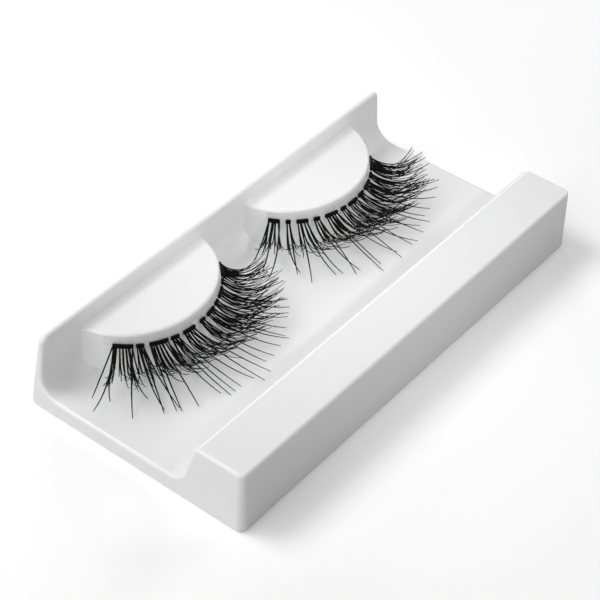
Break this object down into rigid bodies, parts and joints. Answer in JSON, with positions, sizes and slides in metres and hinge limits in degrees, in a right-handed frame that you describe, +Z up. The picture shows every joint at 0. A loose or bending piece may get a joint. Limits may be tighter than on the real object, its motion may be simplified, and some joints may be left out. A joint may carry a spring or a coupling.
{
  "type": "pair of false eyelash strips on a display tray",
  "caption": "False eyelash strips with dense clustered hair, each on a clear band round an eyelid-shaped boss of a white moulded display tray.",
  "frame": {"origin": "middle of the tray's footprint, on the surface that it stands on", "axes": "+X along the tray to the right end, +Y from the front bar to the back wall, +Z up"},
  "size_m": [0.105, 0.0506, 0.0162],
  "materials": {
    "white_plastic": "smooth satin moulded plastic",
    "clear_band": "thin clear film",
    "black_hair": "fine black synthetic hair with a soft sheen"
  },
  "bodies": {
    "root": {"display_tray": "white_plastic", "left_lash_band": "clear_band", "left_lash_cluster_01": "black_hair", "left_lash_cluster_02": "black_hair", "left_lash_cluster_03": "black_hair", "left_lash_cluster_04": "black_hair", "left_lash_cluster_05": "black_hair", "left_lash_cluster_06": "black_hair", "left_lash_cluster_07": "black_hair", "left_lash_cluster_08": "black_hair", "left_lash_cluster_09": "black_hair", "left_lash_cluster_10": "black_hair", "left_lash_cluster_11": "black_hair", "right_lash_band": "clear_band", "right_lash_cluster_01": "black_hair", "right_lash_cluster_02": "black_hair", "right_lash_cluster_03": "black_hair", "right_lash_cluster_04": "black_hair", "right_lash_cluster_05": "black_hair", "right_lash_cluster_06": "black_hair", "right_lash_cluster_07": "black_hair", "right_lash_cluster_08": "black_hair", "right_lash_cluster_09": "black_hair", "right_lash_cluster_10": "black_hair", "right_lash_cluster_11": "black_hair"}
  },
  "joints": []
}
